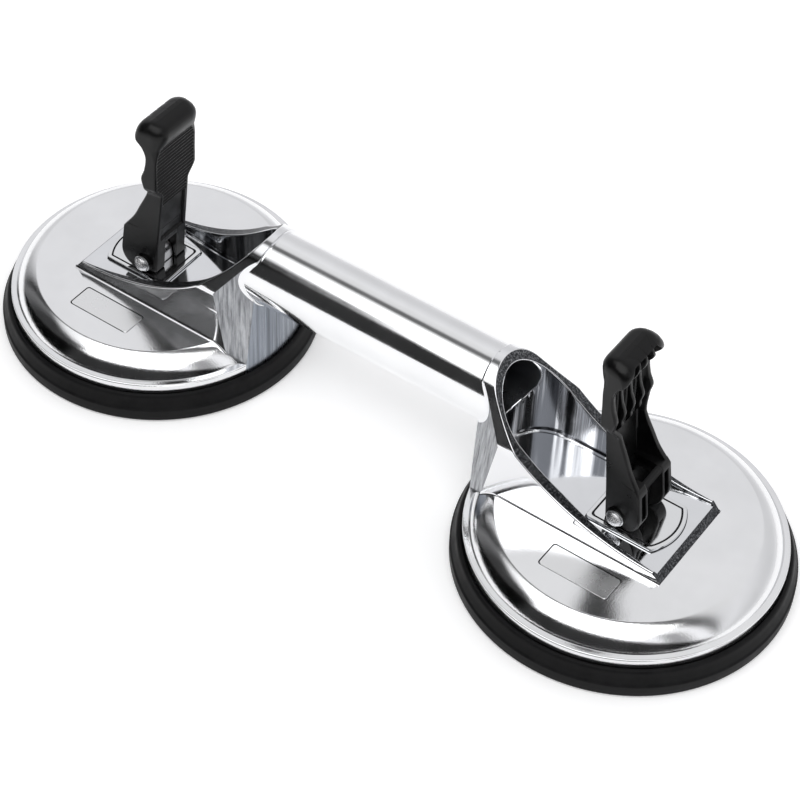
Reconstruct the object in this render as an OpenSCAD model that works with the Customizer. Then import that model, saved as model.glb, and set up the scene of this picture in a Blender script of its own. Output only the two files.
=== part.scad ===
// Twin-cup vacuum lifter: two rubber suction pads under aluminium castings, joined by a handle tube.
// Each cup has a hood that carries the tube, and an upright cam lever that pulls the pad's middle up.
// Origin: on the floor, midway between the cups. +X runs along the tube to the right cup, +Z is up.
// A cup is drawn about its own axis, with +x pointing outwards and the tube on its -x side.

/* [Layout] */
// Distance between the two cup axes
cup_pitch = 205; // [200:1:240]
// Height of the handle tube's axis above the floor
tube_z = 51.6; // [50.5:0.1:53]

/* [Rubber pad] */
// Outer diameter of the pad
pad_d = 120; // [118:0.5:126]
// Height of the pad's upright side band
pad_band_h = 5.5; // [4:0.1:6]
// Height of the lip that hugs the casting's rim
pad_lip_z = 11; // [10:0.1:12]
// Depth of the shallow dish under the pad
pad_dish = 2; // [1:0.1:3]

/* [Casting] */
// Diameter of the casting's rim
rim_d = 112; // [110:0.1:113]
// Diameter of the flat top
top_d = 91.6; // [88:0.1:94]
// Height of the flat top
top_z = 22.1; // [21.8:0.1:22.6]
// Height of the ledge round the shoulder
ledge_z = 15; // [14:0.1:16]
// Wall thickness of the disc
shell_t = 3.4; // [3:0.1:3.6]
// Height of the raised platform, which is also the hood's floor
platform_z = 24.9; // [24.6:0.1:25.2]

/* [Hood] */
// Outer width of the hood
hood_w = 40; // [39:0.5:42]
// Thickness of the hood's side walls
hood_wall = 4.5; // [4:0.1:5]
// Radius of the curved cut along the hood's rim
rim_cut_r = 90; // [86:1:94]
// Distance of the platform's outer end from the cup axis
platform_end = 22; // [20:0.5:24]

/* [Handle tube] */
// Outer diameter of the tube
tube_d = 28.4; // [27.6:0.1:28.8]
// Wall thickness of the tube
tube_t = 2.4; // [1:0.1:3]

/* [Lever] */
// Height of the lever's pivot pin when the cup is released
pin_z = 30; // [29.8:0.1:30.4]
// Diameter of the pivot pin
pin_d = 4; // [3.5:0.1:4.2]
// Swing of the lever from upright to locked flat, in degrees
lever_swing = 98; // [90:1:100]
// Lift of the pad's middle over the whole swing
pad_lift = 6; // [5:0.1:6.2]
// Thickness of the lever's side cheeks
cheek_t = 2.2; // [1.8:0.1:2.4]

/* [Hidden] */
$fn = 96;
eps = 0.01;

// Pad and rim radii
pad_r = pad_d / 2;
rim_r = rim_d / 2;
top_r = top_d / 2;
pad_seat_z = 7;
pad_web_z = 6;
shoulder_r = rim_r - 2.2;
skirt_r = rim_r - shell_t;

// Hood
hood_hw = hood_w / 2;
bay_hw = hood_hw - hood_wall;
bay_x = -rim_r + 5 + bay_hw;
bay_bend = bay_x / 2;
bay_end_hw = hood_hw - 0.7;
rim_cut_z = platform_z + 1.1 + rim_cut_r;
collar_r = 15;
flank_z = 46;
facet_x = -47.5;
facet_turn = 30;
facet_lean = 5.3;
end_slope = 2.3;
end_tilt = atan2(end_slope, platform_z - top_z);

// Tube
tube_r = tube_d / 2;
tube_fit = 0.02;
tube_end_x = -36;

// Seat plate and label
seat_t = 1.2;
seat_z = platform_z + seat_t;
seat_r = 19.5;
seat_hw = 12;
seat_back_x = -10.5;
label_l = 27;
label_w = 10.8;
label_y = -30.8;
label_t = 0.4;

// Stem and pad plate
stem_hx = 3.4;
stem_hy = 2.8;
stem_gap = 0.35;
shank_r = 4;
eye_r = 3.4;
plate_r = 28;
plate_t = 2;
washer_t = 1;
nut_t = 3.5;
nut_z = pad_web_z + plate_t + washer_t;
pocket_r = 13;
pocket_z = platform_z - 4.2;

// Lever: cam support distance grows evenly with the swing, so stem lift and swing keep one ratio
seat_gap = 0.2;
cam_low = pin_z - seat_z - seat_gap;
cam_high = cam_low + pad_lift;
cam_rate = pad_lift / (lever_swing * PI / 180);
face_l = 15;
base_hw = 11.2;
base_back_hw = 6.6;
grip_hw = 14.6;
grip_back_hw = 10.4;
grip_z = 70;
slot_hw = 3.2;
front_slot_hw = 4.8;
web_t = 2.4;
boss_r = 3.6;
face_top = 45;
groove_n = 16;
rib_pitch = 5.6;
back_x = -4.8;
head_z = 99;
rib_t = 1.5;
pin_r = pin_d / 2;
washer_r = 3.3;
pin_face = 10;

// Points from p to q on an arc of radius r that bulges to the right of the way
function arc_pts(p, q, r, n) =
    let (m = (p + q) / 2, v = q - p, d = norm(v), left = [-v[1], v[0]] / d)
    let (c = m + left * sqrt(r * r - d * d / 4))
    let (a0 = atan2(p[1] - c[1], p[0] - c[0]), a1 = atan2(q[1] - c[1], q[0] - c[0]))
    [for (i = [0 : n]) let (a = a0 + (a1 - a0) * i / n) c + r * [cos(a), sin(a)]];

// One point of a Catmull-Rom curve
function curve_pt(a, b, c, d, t) =
    0.5 * (2 * b + (c - a) * t + (2 * a - 5 * b + 4 * c - d) * t * t + (3 * b - a - 3 * c + d) * t * t * t);

// A smooth curve through a list of points, n steps between each pair
function curve(p, n) =
    [for (i = [0 : len(p) - 2])
        for (k = [0 : n - 1])
            curve_pt(p[max(i - 1, 0)], p[i], p[i + 1], p[min(i + 2, len(p) - 1)], k / n),
     p[len(p) - 1]];

// Point of the cam's edge that touches the seat when the lever has swung by a degrees
function cam_pt(a) =
    let (s = cam_low + cam_rate * a * PI / 180)
    [s * sin(a) + cam_rate * cos(a), pin_z - s * cos(a) + cam_rate * sin(a)];

// Places a cup's piece: side 1 is the right cup, side -1 its mirror image on the left
module at_cup(side) {
    if (side > 0)
        translate([cup_pitch / 2, 0, 0]) children();
    else
        mirror([1, 0, 0]) translate([cup_pitch / 2, 0, 0]) children();
}

// Straight tube through the backs of both hoods, trimmed flush with the hoods' insides
module handle_tube() {
    l = cup_pitch + 2 * tube_end_x;
    color("gainsboro")
        difference() {
            translate([-l / 2, 0, tube_z]) rotate([0, 90, 0]) cylinder(r = tube_r, h = l);
            translate([-l / 2 - 1, 0, tube_z]) rotate([0, 90, 0]) cylinder(r = tube_r - tube_t, h = l + 2);
            for (side = [-1, 1])
                at_cup(side) {
                    translate([0, 0, platform_z]) linear_extrude(60) bay_plan();
                    rim_cut();
                }
        }
}

// Revolved disc: flat top, convex shoulder, ledge and rim
module disc_body() {
    rotate_extrude($fn = 144)
        polygon(concat([[0, pad_seat_z], [rim_r, pad_seat_z], [rim_r, ledge_z - 0.5], [rim_r - 0.4, ledge_z]],
                       arc_pts([shoulder_r, ledge_z], [top_r, top_z], 13, 8), [[0, top_z]]));
}

// Hollow under the disc
module disc_hollow() {
    rotate_extrude($fn = 144)
        polygon([[0, pad_seat_z - 1], [skirt_r, pad_seat_z - 1], [skirt_r, ledge_z - 3], [skirt_r - 2, ledge_z],
                 [top_r - 1, top_z - shell_t], [0, top_z - shell_t]]);
}

// Plan of the hood's inside: parallel walls and a round back
module bay_plan() {
    translate([bay_x, 0]) circle(r = bay_hw);
    // straight sides that open out towards the platform's end
    polygon([[bay_x, -bay_hw], [bay_bend, -bay_hw], [platform_end + 4, -bay_end_hw],
             [platform_end + 4, bay_end_hw], [bay_bend, bay_hw], [bay_x, bay_hw]]);
}

// The long curve that cuts the hood from the tube down to the platform
module rim_cut() {
    translate([platform_end, -hood_w, rim_cut_z]) rotate([-90, 0, 0])
        cylinder(r = rim_cut_r, h = 2 * hood_w, $fn = 180);
}

// Hood seen along the tube: upright sides, then flanks that run on to the collar round the tube
module hood_section() {
    c = [0, tube_z];
    side = [hood_hw, flank_z];
    d = norm(side - c);
    r = collar_r - 0.08;
    turn = atan2(side[1] - c[1], side[0]) + acos(r / d);
    touch = c + r * [cos(turn), sin(turn)];
    translate(c) circle(r = collar_r);
    polygon([[hood_hw, ledge_z - 1], side, touch, c, [-touch[0], touch[1]], [-side[0], side[1]],
             [-hood_hw, ledge_z - 1]]);
}

// Block outside a hood's slanted back corner
module corner_cut() {
    translate([facet_x, hood_hw, ledge_z]) rotate([facet_lean, 0, facet_turn])
        translate([-40, 0, -40]) cube([80, 30, 100]);
}

module hood_body() {
    difference() {
        intersection() {
            translate([-rim_r - 1, 0, 0]) rotate([90, 0, 90])
                linear_extrude(rim_r + 1 + platform_end + end_slope) hood_section();
            cylinder(r = rim_r, h = 90, $fn = 144);
        }
        rim_cut();
        corner_cut();
        mirror([0, 1, 0]) corner_cut();
        // sloped outer end of the platform
        translate([platform_end, -hood_w, platform_z]) rotate([0, -end_tilt, 0]) translate([0, 0, -20])
            cube([20, 2 * hood_w, 60]);
    }
}

module casting() {
    color("silver")
        difference() {
            union() {
                disc_body();
                hood_body();
            }
            disc_hollow();
            translate([0, 0, platform_z]) linear_extrude(60) bay_plan();
            // bore for the tube
            translate([-rim_r - 5, 0, tube_z]) rotate([0, 90, 0]) cylinder(r = tube_r + tube_fit, h = 30);
            // pocket over the stem's nut, and the slot that guides the stem
            translate([0, 0, pad_seat_z]) cylinder(r = pocket_r, h = pocket_z - pad_seat_z);
            stem_slot(platform_z - 10, 20);
            // recess for the label plate
            translate([-label_l / 2, label_y - label_w / 2, top_z - label_t]) cube([label_l, label_w, 5]);
        }
}

module stem_slot(z, h) {
    w = [stem_hx + stem_gap, stem_hy + stem_gap];
    translate([-w[0], -w[1], z]) cube([2 * w[0], 2 * w[1], h]);
}

// Steel plate under the cam: straight towards the tube, round outwards
module seat_plate() {
    color("lightsteelblue")
        difference() {
            intersection() {
                translate([0, 0, platform_z]) cylinder(r = seat_r, h = seat_t);
                translate([seat_back_x, -seat_hw, 0]) cube([40, 2 * seat_hw, 60]);
            }
            stem_slot(platform_z - 1, 10);
        }
}

module label_plate() {
    g = 0.05;
    color("whitesmoke")
        translate([-label_l / 2 + g, label_y - label_w / 2 + g, top_z - label_t])
            cube([label_l - 2 * g, label_w - 2 * g, label_t]);
}

module rubber_pad() {
    color("black")
        rotate_extrude($fn = 144)
            polygon([[0, pad_dish], [46, pad_dish - 0.4], [48.5, 0.4], [50, 0],
                     [pad_r - 1, 0], [pad_r, 0.8], [pad_r, pad_band_h], [pad_r - 0.5, pad_band_h + 0.7],
                     [rim_r + 1.9, pad_lip_z - 0.9], [rim_r + 1.3, pad_lip_z], [rim_r + 0.03, pad_lip_z],
                     [rim_r + 0.03, pad_seat_z], [skirt_r - 0.03, pad_seat_z], [skirt_r - 0.03, pad_seat_z + 2],
                     [skirt_r - 2.5, pad_seat_z + 2], [skirt_r - 3.5, pad_web_z], [0, pad_web_z]]);
}

// Steel disc bonded to the middle of the pad
module pad_plate() {
    color("darkgray")
        translate([0, 0, pad_web_z])
            difference() {
                cylinder(r = plate_r, h = plate_t);
                translate([0, 0, -1]) cylinder(r = shank_r + 0.02, h = 6, $fn = 48);
            }
}

// Flat eye that the pin passes through, on a round shank fixed to the pad plate
module pull_stem() {
    z0 = nut_z + nut_t;
    color("slategray")
        difference() {
            union() {
                translate([0, 0, pad_web_z]) cylinder(r = shank_r, h = z0 - pad_web_z + 1, $fn = 48);
                translate([-stem_hx, -stem_hy, z0]) cube([2 * stem_hx, 2 * stem_hy, pin_z - z0]);
                translate([0, -stem_hy, pin_z]) rotate([-90, 0, 0]) cylinder(r = eye_r, h = 2 * stem_hy);
            }
            translate([0, -10, pin_z]) rotate([-90, 0, 0]) cylinder(r = pin_r + 0.06, h = 20, $fn = 48);
        }
}

module stem_washer() {
    color("lightgray")
        translate([0, 0, nut_z - washer_t])
            difference() {
                cylinder(r = 8, h = washer_t);
                translate([0, 0, -1]) cylinder(r = shank_r + 0.2, h = 4, $fn = 48);
            }
}

module stem_nut() {
    color("lightgray")
        translate([0, 0, nut_z])
            difference() {
                cylinder(r = 7.5, h = nut_t, $fn = 6);
                translate([0, 0, -1]) cylinder(r = shank_r + 0.02, h = 6, $fn = 48);
            }
}

// Side view of the lever: straight back, head that hooks outwards, finger grooves, cam base
module lever_profile() {
    a_end = lever_swing;
    face = cam_pt(a_end) + (face_l - cam_rate) * [cos(a_end), sin(a_end)];
    cam = [for (i = [0 : 12]) cam_pt(a_end * i / 12)];
    front = curve([face, [3.4, 51.2], [0.6, 57], [-2.6, 64], [-4.3, 70], [-3.7, 74.5],
                   [-5.2, 79], [-6.2, 85.5], [-4.9, 90.4]], 4);
    head = curve([[-2.2, 92], [-1.4, 94.6], [-3.2, 97.7], [-7.2, head_z], [-11.2, 98], [-13.3, 95.4],
                  [-12.8, 92.4]], 4);
    back = curve([[-11.3, 89.4], [-10.1, 80], [-9.6, 70], [-8.3, 58], [back_x - 1.6, 42]], 4);
    polygon(concat(cam, front, head, back, [[back_x, pin_z - cam_low]]));
}

// Place of the lever's back at height z
function back_at(z) = lookup(z, [[26, -4.8], [42, -6.4], [58, -8.3], [70, -9.6], [80, -10.1], [93.5, -11.8]]);

// Plan of the lever, narrower towards the tube, made thinner by t all round
module lever_plan(back_hw, front_hw, t) {
    polygon([[-16, -back_hw + t], [12, -front_hw + t], [16, -front_hw + t],
             [16, front_hw - t], [12, front_hw - t], [-16, back_hw - t]]);
}

// Outer form: the side view, narrow in plan at the base and wide at the grip
module lever_body() {
    intersection() {
        translate([0, 20, 0]) rotate([90, 0, 0]) linear_extrude(40) lever_profile();
        union() {
            linear_extrude(grip_z - 5) lever_plan(base_back_hw, base_hw, 0);
            hull() {
                translate([0, 0, grip_z - 5 - eps]) linear_extrude(eps) lever_plan(base_back_hw, base_hw, 0);
                translate([0, 0, grip_z]) linear_extrude(eps) lever_plan(grip_back_hw, grip_hw, 0);
            }
            translate([0, 0, grip_z]) linear_extrude(40) lever_plan(grip_back_hw, grip_hw, 0);
        }
    }
}

// Everything in front of the lever's back web between two heights
module front_space(z0, z1) {
    translate([0, 20, 0]) rotate([90, 0, 0])
        linear_extrude(40)
            polygon([[back_at(z0) + web_t, z0], [30, z0], [30, z1], [back_at(z1) + web_t, z1]]);
}

module lever() {
    color("#202020")
        difference() {
            union() {
                lever_body();
                // flats under the pin's head and cap
                translate([0, -pin_face, pin_z]) rotate([-90, 0, 0]) cylinder(r = boss_r, h = 2 * pin_face);
            }
            // deep hollow, open outwards
            intersection() {
                front_space(46.8, 65);
                linear_extrude(90) lever_plan(base_back_hw, base_hw, cheek_t);
            }
            // four channels between the cheeks and the finger ribs
            intersection() {
                front_space(grip_z, 93.5);
                linear_extrude(99)
                    difference() {
                        lever_plan(grip_back_hw, grip_hw, cheek_t);
                        for (i = [-1 : 1])
                            translate([-20, i * rib_pitch - rib_t / 2]) square([40, rib_t]);
                    }
            }
            // slot for the stem, open to both sides, taller and wider in front
            translate([-20, -slot_hw, 0]) cube([40, 2 * slot_hw, pin_z + 9]);
            translate([-2.6, -slot_hw, 0]) cube([30, 2 * slot_hw, face_top]);
            translate([4, -front_slot_hw, 0]) cube([20, 2 * front_slot_hw, face_top]);
            // the slot opens up into the hollow behind the cross bar
            translate([-2.6, -front_slot_hw, face_top - 1]) cube([8.8, 2 * front_slot_hw, 4]);
            // narrow pockets in the outer face of the base
            for (s = [-1, 1])
                translate([5.2, s * 6.8 - 0.9, pin_z + 3]) cube([20, 1.8, face_top - pin_z - 4]);
            // shallow panel and fine cross grooves at the back
            back_panel();
            for (i = [0 : groove_n - 1])
                back_groove(60 + i * 1.85);
            translate([0, -20, pin_z]) rotate([-90, 0, 0]) cylinder(r = pin_r + 0.02, h = 40, $fn = 48);
        }
}

module back_panel() {
    translate([0, 5.4, 0]) rotate([90, 0, 0])
        linear_extrude(10.8)
            polygon([[back_at(42) + 0.8, 42], [back_at(57) + 0.8, 57], [-20, 57], [-20, 42]]);
}

module back_groove(z) {
    translate([back_at(z) - 0.1, -7.6, z]) rotate([-90, 0, 0]) cylinder(r = 0.6, h = 15.2, $fn = 12);
}

// Pin pressed in the lever's cheeks, with a domed head on the -Y side
module pivot_pin() {
    head_y = -pin_face - 0.6;
    color("gainsboro")
        translate([0, 0, pin_z]) rotate([90, 0, 0]) {
            translate([0, 0, -pin_face - 2.2]) cylinder(r = pin_r, h = 2 * pin_face + 3, $fn = 48);
            translate([0, 0, -head_y])
                rotate_extrude($fn = 48)
                    polygon(concat([[0, 0], [2.9, 0], [2.9, 0.5]], arc_pts([2.9, 0.5], [0, 1.9], 3.2, 6)));
        }
}

module pin_washers() {
    color("silver")
        for (s = [-1, 1])
            translate([0, s > 0 ? pin_face : -pin_face - 0.6, pin_z]) rotate([-90, 0, 0])
                difference() {
                    cylinder(r = washer_r, h = 0.6, $fn = 48);
                    translate([0, 0, -1]) cylinder(r = pin_r + 0.05, h = 3, $fn = 48);
                }
}

// Push-on cap that keeps the pin in, on the +Y side
module pin_cap() {
    color("silver")
        translate([0, pin_face + 0.6, pin_z]) rotate([-90, 0, 0])
            difference() {
                cylinder(r = 2.9, h = 1.9, $fn = 48);
                translate([0, 0, -1]) cylinder(r = pin_r + 0.02, h = 2.6, $fn = 48);
            }
}

handle_tube();
at_cup(-1) casting();  // left_casting
at_cup(-1) seat_plate();  // left_seat_plate
at_cup(-1) label_plate();  // left_label_plate
at_cup(-1) rubber_pad();  // left_rubber_pad
at_cup(-1) pad_plate();  // left_pad_plate
at_cup(-1) pull_stem();  // left_pull_stem
at_cup(-1) stem_washer();  // left_stem_washer
at_cup(-1) stem_nut();  // left_stem_nut
at_cup(-1) lever();  // left_lever
at_cup(-1) pivot_pin();  // left_pivot_pin
at_cup(-1) pin_washers();  // left_pin_washers
at_cup(-1) pin_cap();  // left_pin_cap
at_cup(1) casting();  // right_casting
at_cup(1) seat_plate();  // right_seat_plate
at_cup(1) label_plate();  // right_label_plate
at_cup(1) rubber_pad();  // right_rubber_pad
at_cup(1) pad_plate();  // right_pad_plate
at_cup(1) pull_stem();  // right_pull_stem
at_cup(1) stem_washer();  // right_stem_washer
at_cup(1) stem_nut();  // right_stem_nut
at_cup(1) lever();  // right_lever
at_cup(1) pivot_pin();  // right_pivot_pin
at_cup(1) pin_washers();  // right_pin_washers
at_cup(1) pin_cap();  // right_pin_cap
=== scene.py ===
"""Looks of the twin-cup vacuum lifter.

Cup pieces are drawn for the right cup in millimetres about the cup's own axis (x points away from the
tube) and mirrored for the left cup. Every piece but the rubber pad rides on the CAD body that it belongs to.
"""

import math

import bmesh
import bpy
from mathutils import Matrix, Vector
from mathutils.geometry import tessellate_polygon


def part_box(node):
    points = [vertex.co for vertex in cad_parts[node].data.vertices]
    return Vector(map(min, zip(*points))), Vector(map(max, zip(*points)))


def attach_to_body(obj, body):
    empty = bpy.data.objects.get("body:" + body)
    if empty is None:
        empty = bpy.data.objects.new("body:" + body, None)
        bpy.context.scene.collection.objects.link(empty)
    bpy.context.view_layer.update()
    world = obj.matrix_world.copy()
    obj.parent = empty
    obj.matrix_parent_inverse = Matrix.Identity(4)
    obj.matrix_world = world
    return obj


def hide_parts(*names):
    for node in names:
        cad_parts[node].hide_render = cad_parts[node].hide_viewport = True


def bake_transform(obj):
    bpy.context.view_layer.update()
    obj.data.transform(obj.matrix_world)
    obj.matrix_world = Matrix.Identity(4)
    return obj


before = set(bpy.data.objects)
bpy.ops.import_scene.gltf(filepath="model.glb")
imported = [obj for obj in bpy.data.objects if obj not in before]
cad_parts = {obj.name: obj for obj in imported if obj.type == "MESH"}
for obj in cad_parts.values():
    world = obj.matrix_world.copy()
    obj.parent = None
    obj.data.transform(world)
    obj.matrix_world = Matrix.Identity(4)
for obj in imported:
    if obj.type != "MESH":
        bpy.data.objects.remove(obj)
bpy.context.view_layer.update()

MM = 0.001
# Turned shapes stop just short of their axis
AXIS_R = 0.02
SIDES = {"left": -1, "right": 1}


def middle(node):
    low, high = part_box(node)
    return (low + high) / 2 / MM


def size(node):
    low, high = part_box(node)
    return (high - low) / MM


# Sizes in mm, taken from the CAD model's boxes
PITCH = middle("right_rubber_pad").x
PAD_R = size("right_rubber_pad").x / 2
RIM_R = size("right_casting").x / 2
TUBE_R = size("handle_tube").z / 2
TUBE_Z = middle("handle_tube").z
TOP_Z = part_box("right_label_plate")[1].z / MM
FLOOR_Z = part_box("right_seat_plate")[0].z / MM
SEAT_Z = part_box("right_seat_plate")[1].z / MM
PIN_Z = middle("right_pivot_pin").z
HEAD_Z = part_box("right_lever")[1].z / MM

# Casting
LEDGE_Z = 15.0
LEDGE_R = RIM_R - 2.2
CREASE_R = 45.8
LIP_Z = 11.0
SEAT_GROOVE_Z = 7.0
SHELL_T = 3.4
HOOD_HW = 20.0
FLANK_Z = 46.0
COLLAR_R = 15.0
CUT_R = 90.0
CUT_X = 22.0
CUT_Z = FLOOR_Z + 1.1 + CUT_R
BAY_HW = 15.5
BAY_X = -RIM_R + 5 + BAY_HW
BAY_BEND = BAY_X / 2
BAY_END_HW = HOOD_HW - 0.7
END_X = 22.0
END_RUN = 2.3
FACET_AT = Vector((-47.5, HOOD_HW, LEDGE_Z))
FACET_TURN = math.radians(30)
FACET_LEAN = math.radians(5.3)
BORE_R = TUBE_R - 2.4
MOUTH_R = BORE_R + 0.3
TUBE_HOLE_R = TUBE_R - 0.3
RIM_START_X = 21.0
POCKET_Z = FLOOR_Z - 4.2
FLAT_R = CREASE_R - 0.25
LABEL = (0.0, -30.8, 27.0, 10.8)
LABEL_DEPTH = 0.4
LABEL_CORNER = 1.2

# Rubber pad: the sheet bends between the ring and the pad plate
SHEET_R = 46.0
PAD_BACK_Z = 6.0
PAD_DISH = 2.0

SLOT_HALF = (3.75, 3.15)

# Lever
CHEEK_T = 2.2
WEB_T = 2.4
RIB_T = 1.5
RIB_PITCH = 5.6
LEVER_SLOT = 3.2
FRONT_SLOT = 4.8
SLOT_STEP_X = 4.0
PIT_Z = 44.0
PANEL_START = (42.0, 42.4)
FACE_TOP = 45.0
CROSS_TOP = 46.8
PANEL_END = 60.2
PANEL_DEPTH = 0.8
GRIP_Z = 64.5
FINE_END = 89.6
FINE_PITCH = 1.6
BASE_FLOOR_Z = 32.6
PIN_R = 2.0
CHEEK_Y = 10.0
WASHER_Y = 10.6


# -------- mesh building
class Shell:
    """Points and faces of one piece, each patch turned to face outwards."""

    def __init__(self):
        self.points, self.faces, self.marks = [], [], []

    def patch(self, rows, out, mark=0, closed=False):
        """Quads between rows of points. out(point) is a direction away from the solid."""
        self._add(self._quads(rows, closed), out, mark)

    def sleeve(self, rows):
        """Quads round a pile of outlines. They face the way that the outlines turn."""
        faces = self._quads(rows, True)
        self.faces += faces
        self.marks += [0] * len(faces)

    def _quads(self, rows, closed):
        start, width = len(self.points), len(rows[0])
        for row in rows:
            self.points += [Vector(p) for p in row]
        faces = []
        for i in range(len(rows) - 1):
            for j in range(width if closed else width - 1):
                a, b = start + i * width + j, start + i * width + (j + 1) % width
                faces.append((a, b, b + width, a + width))
        return faces

    def plate(self, outlines, out, mark=0):
        """A flat face with holes: the first outline is the outside."""
        start = len(self.points)
        flat = [Vector(p) for line in outlines for p in line]
        self.points += flat
        triangles = tessellate_polygon([[Vector(p) for p in line] for line in outlines])
        self._add([tuple(start + i for i in t) for t in triangles], out, mark)

    def _add(self, faces, out, mark):
        score = 0.0
        for f in faces:
            p = [self.points[i] for i in f]
            n = (p[2] - p[0]).cross(p[-1] - p[1])
            score += n.dot(Vector(out(sum(p, Vector()) / len(p))))
        if score < 0:
            faces = [tuple(reversed(f)) for f in faces]
        self.faces += faces
        self.marks += [mark] * len(faces)

    def build(self, name, side, mats, weld=0.004, sharp=32):
        """Object of this shell at a cup (side 1 or -1) or, for side 0, as it stands.
        mats are keys of MATS, one for each mark."""
        mesh = bpy.data.meshes.new(name)
        work = bmesh.new()
        for p in self.points:
            work.verts.new(to_row(p, side))
        work.verts.ensure_lookup_table()
        for f, mark in zip(self.faces, self.marks):
            corners = []
            for i in f:
                if work.verts[i] not in corners:
                    corners.append(work.verts[i])
            face = work.faces.new(corners)
            face.material_index = mark
            face.smooth = True
        if side < 0:
            bmesh.ops.reverse_faces(work, faces=work.faces)
        bmesh.ops.remove_doubles(work, verts=work.verts, dist=weld * MM)
        bmesh.ops.dissolve_degenerate(work, edges=work.edges, dist=weld * MM / 4)
        work.to_mesh(mesh)
        work.free()
        for key in mats:
            mesh.materials.append(MATS[key])
        mesh.set_sharp_from_angle(angle=math.radians(sharp))
        obj = add_object(name, mesh)
        weighted = obj.modifiers.new("weighted", "WEIGHTED_NORMAL")
        weighted.keep_sharp = True
        return obj


def upward(_):
    return 0, 0, 1


def add_object(name, data):
    obj = bpy.data.objects.new(name, data)
    bpy.context.scene.collection.objects.link(obj)
    return obj


def to_row(p, side):
    """Cup-local millimetres to the row frame's metres."""
    if side == 0:
        return Vector(p) * MM
    return Vector((side * (PITCH + p[0]), p[1], p[2])) * MM


def spaced(a, b, count):
    """Numbers from a to b in count even steps."""
    return [a + (b - a) * i / count for i in range(count + 1)]


def arc(centre, radius, start, end, steps):
    """Points of an arc in a plane, angles in degrees."""
    turns = [math.radians(degrees) for degrees in spaced(start, end, steps)]
    return [(centre[0] + radius * math.cos(a), centre[1] + radius * math.sin(a)) for a in turns]


def chord_arc(p, q, radius, steps):
    """Arc from p to q that bulges to the right of the way."""
    p, q = Vector(p), Vector(q)
    v = q - p
    left = Vector((-v.y, v.x)) / v.length
    c = (p + q) / 2 + left * math.sqrt(radius ** 2 - v.length_squared / 4)
    a0 = math.degrees(math.atan2(p.y - c.y, p.x - c.x))
    a1 = math.degrees(math.atan2(q.y - c.y, q.x - c.x))
    return arc(c, radius, a0, a1, steps)


def rounded(points, radius, steps=3):
    """A 2D line whose inner corners are rounded."""
    found = [tuple(points[0])]
    for a, b, c in zip(points, points[1:], points[2:]):
        a, b, c = Vector(a), Vector(b), Vector(c)
        r = min(radius, (a - b).length * 0.45, (c - b).length * 0.45)
        p, q = b + (a - b).normalized() * r, b + (c - b).normalized() * r
        for i in range(steps + 1):
            t = i / steps
            found.append(tuple(p * (1 - t) ** 2 + b * 2 * t * (1 - t) + q * t * t))
    return found + [tuple(points[-1])]


def circle(radius, count):
    """(x, y) points evenly round a circle."""
    turns = [2 * math.pi * i / count for i in range(count)]
    return [(radius * math.cos(a), radius * math.sin(a)) for a in turns]


def turned(shell, profile, place, steps, mark=0, outward=True):
    """A profile of (radius, distance) points turned about an axis.
    place(a, b, d) is the point that lies a and b across the axis and d along it."""
    rows = [[place(a, b, d) for a, b in circle(r, steps)] for r, d in profile]
    foot = Vector(place(0, 0, 0))
    axis = Vector(place(0, 0, 1)) - foot
    for (r0, d0), (r1, d1), low, high in zip(profile, profile[1:], rows, rows[1:]):
        n = Vector((d1 - d0, r0 - r1)) * (1 if outward else -1)

        def out(p, n=n):
            arm = p - foot
            return (arm - axis * arm.dot(axis)).normalized() * n.x + axis * n.y
        shell.patch([low, high], out, mark, closed=True)


def revolve(shell, profile, steps=192, mark=0, outward=True):
    """A profile of (radius, z) points turned about the cup's axis."""
    turned(shell, profile, lambda a, b, d: (a, b, d), steps, mark, outward)


def rounded_box_line(cx, cy, w, h, r, z):
    """Outline of a rectangle with round corners at height z."""
    found = []
    for sx, sy, a in ((1, 1, 0), (-1, 1, 90), (-1, -1, 180), (1, -1, 270)):
        c = (cx + sx * (w / 2 - r), cy + sy * (h / 2 - r))
        found += [(x, y, z) for x, y in arc(c, r, a, a + 90, 5)]
    return found


def lerp(a, b, t):
    return Vector(a) * (1 - t) + Vector(b) * t


def between(a, b, count):
    """Points from a to b in count even steps."""
    return [lerp(a, b, i / count) for i in range(count + 1)]


def clamp(t):
    return min(max(t, 0), 1)


def ease(z, low, high):
    """0 up to low, 1 from high on, with a smooth rise between."""
    t = clamp((z - low) / (high - low))
    return t * t * (3 - 2 * t)


def bisect(low, high, holds):
    """Where holds(t), which is true at low, stops being true before high."""
    for _ in range(50):
        middle_t = (low + high) / 2
        if holds(middle_t):
            low = middle_t
        else:
            high = middle_t
    return (low + high) / 2


def flipped(rows, flip):
    """Rows of points with their y times flip, which is 1 or -1."""
    return [[Vector((p[0], p[1] * flip, p[2])) for p in row] for row in rows]


def along(points, count):
    """count points at even spacing along a 3D line."""
    points = [Vector(p) for p in points]
    lengths = [0.0]
    for a, b in zip(points, points[1:]):
        lengths.append(lengths[-1] + (b - a).length)
    found, k = [], 0
    for i in range(count):
        goal = lengths[-1] * i / (count - 1)
        while k < len(points) - 2 and lengths[k + 1] < goal:
            k += 1
        step = lengths[k + 1] - lengths[k]
        found.append(lerp(points[k], points[k + 1], (goal - lengths[k]) / step if step else 0))
    return found


def fillet(corner, n1, n2, radius, steps=4):
    """Points round a convex edge between faces with outward normals n1 and n2."""
    n1, n2 = Vector(n1).normalized(), Vector(n2).normalized()
    c = Vector(corner) - (n1 + n2) * (radius / (1 + n1.dot(n2)))
    angle = n1.angle(n2)
    found = []
    for i in range(steps + 1):
        t = i / steps
        d = (n1 * math.sin((1 - t) * angle) + n2 * math.sin(t * angle)) / math.sin(angle)
        found.append(c + d * radius)
    return found


def attach(obj, body, node):
    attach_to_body(obj, body)
    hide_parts(node)


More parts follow.
